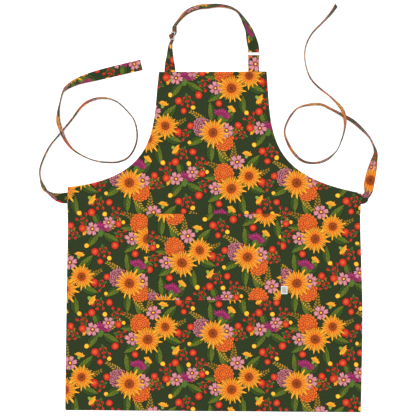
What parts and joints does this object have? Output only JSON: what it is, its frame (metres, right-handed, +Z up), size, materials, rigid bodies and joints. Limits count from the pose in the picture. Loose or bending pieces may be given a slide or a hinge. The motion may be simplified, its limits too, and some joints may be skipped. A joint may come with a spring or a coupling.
{
  "type": "bib apron",
  "caption": "Bib apron in flower-printed cotton, lying flat: curved armholes, patch pocket, neck strap with slider and ring, and waist ties laid in loose loops.",
  "frame": {"origin": "on the surface that the apron lies on, under the middle of the panel near the waist", "axes": "+Z up, out of the printed face; +Y from the skirt's hem towards the neck strap; +X to the right of a viewer who looks at the printed face with the neck strap at the top"},
  "size_m": [0.81, 0.9769, 0.054],
  "materials": {
    "printed_cotton": "plain weave cotton, dark green ground with a printed flower pattern, matt",
    "label_cloth": "woven off-white tape, slight sheen",
    "nickel": "nickel-plated, smooth"
  },
  "bodies": {
    "root": {"apron_panel": "printed_cotton", "pocket": "printed_cotton", "side_label": "label_cloth", "neck_strap": "printed_cotton", "strap_slider": "nickel", "strap_ring": "nickel", "ring_tab": "printed_cotton", "waist_tie_left": "printed_cotton", "waist_tie_right": "printed_cotton"}
  },
  "joints": []
}
